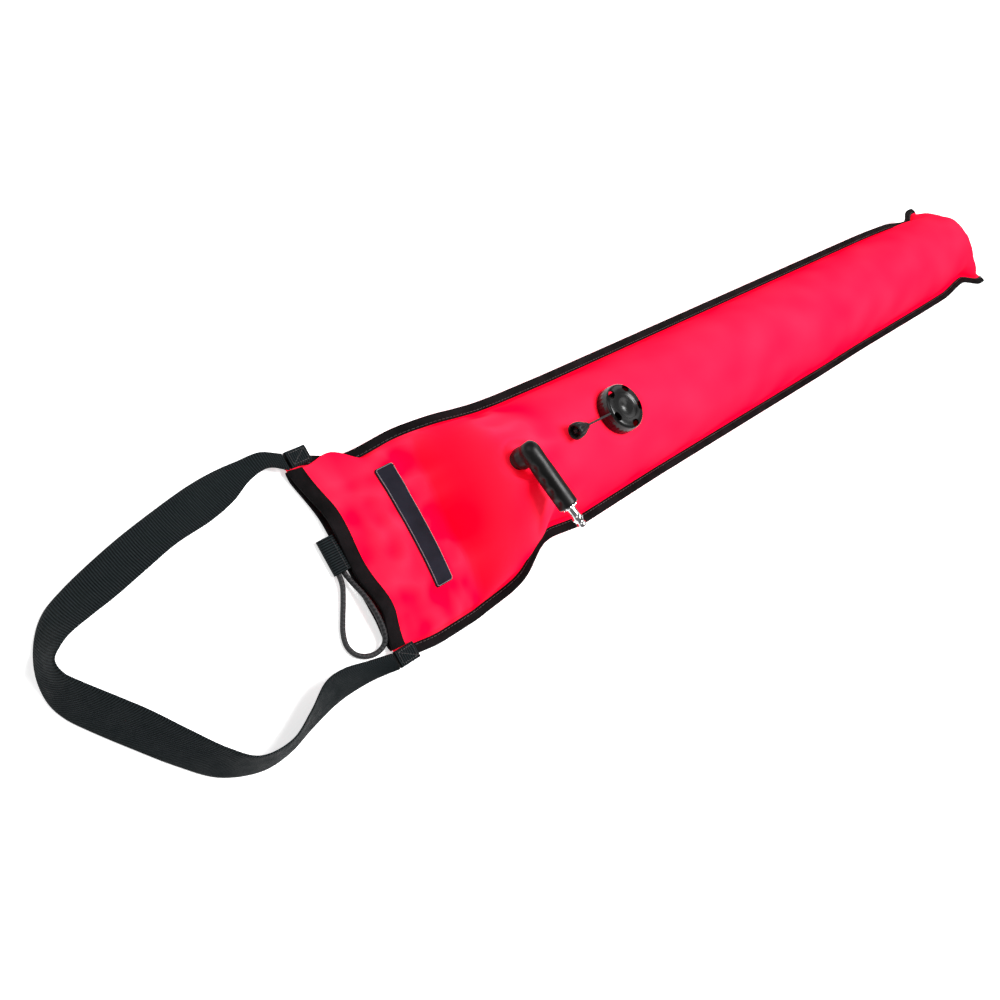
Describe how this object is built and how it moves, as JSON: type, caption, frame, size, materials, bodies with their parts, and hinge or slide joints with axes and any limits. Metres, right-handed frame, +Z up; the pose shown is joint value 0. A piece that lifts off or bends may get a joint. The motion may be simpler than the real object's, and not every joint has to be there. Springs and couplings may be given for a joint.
{
  "type": "inflatable diver's marker tube",
  "caption": "Long inflatable cloth marker tube with an open flat skirt, push-on inflator nipple, pull-dump relief valve, webbing carrying strap and bungee loop.",
  "frame": {"origin": "middle of the lower lip's edge at the open mouth, on the surface the part lies on", "axes": "+X from the mouth to the closed end along the tube, +Y to the left side, +Z up out of the surface"},
  "size_m": [1.2727, 0.194, 0.1157],
  "materials": {
    "coated_cloth": "coated nylon cloth, soft sheen",
    "binding_tape": "matt woven tape",
    "webbing": "ribbed webbing",
    "cord": "braided cord",
    "baffle_film": "thin coated film",
    "rubber": "satin rubber",
    "valve_plastic": "glossy moulded plastic",
    "inflator_plastic": "matt moulded plastic",
    "chrome": "polished plating",
    "steel": "bright wire"
  },
  "bodies": {
    "bag": {"upper_skirt_panel": "coated_cloth", "lower_skirt_panel": "coated_cloth", "upper_tube_panel": "coated_cloth", "lower_tube_panel": "coated_cloth", "left_side_binding": "binding_tape", "right_side_binding": "binding_tape", "upper_mouth_binding": "binding_tape", "lower_mouth_binding": "binding_tape", "upper_baffle_leaf": "baffle_film", "lower_baffle_leaf": "baffle_film", "label_patch": "binding_tape", "left_strap_tab": "webbing", "right_strap_tab": "webbing", "bungee_tab": "webbing", "bungee_loop": "rubber", "valve_flange": "valve_plastic", "valve_ring": "valve_plastic", "valve_cap": "valve_plastic", "inflator_flange": "inflator_plastic", "inflator_elbow": "inflator_plastic", "rubber_grip": "rubber", "nipple_spring": "steel", "valve_spring": "steel"},
    "strap": {"carry_strap": "webbing"},
    "poppet": {"valve_seal": "rubber", "valve_poppet": "valve_plastic"},
    "pull": {"pull_cord": "cord", "pull_knob": "rubber", "cord_knot": "cord"},
    "nipple": {"quick_release_nipple": "chrome", "hose_pin": "chrome", "stem_seal": "rubber"}
  },
  "joints": [
    {"name": "strap_swing", "type": "hinge", "parent": "bag", "child": "strap", "pos_m": [-0.009, 0, 0.01025], "axis": [0, 1, 0], "range_deg": [0, 90]},
    {"name": "poppet_lift", "type": "slide", "parent": "bag", "child": "poppet", "axis": [0, 0, 1], "range_m": [0, 0.0022], "stiffness_N_per_m": 300, "deforming": ["valve_spring"]},
    {"name": "cord_pull", "type": "slide", "parent": "bag", "child": "pull", "axis": [-1, 0, 0], "range_m": [0, 0.0022]},
    {"name": "nipple_press", "type": "slide", "parent": "bag", "child": "nipple", "axis": [-0.1564, 0.9877, 0], "range_m": [0, 0.003], "stiffness_N_per_m": 400, "deforming": ["nipple_spring"]}
  ],
  "couplings": [
    {"joint": "cord_pull", "follows": "poppet_lift", "ratio": 1}
  ]
}
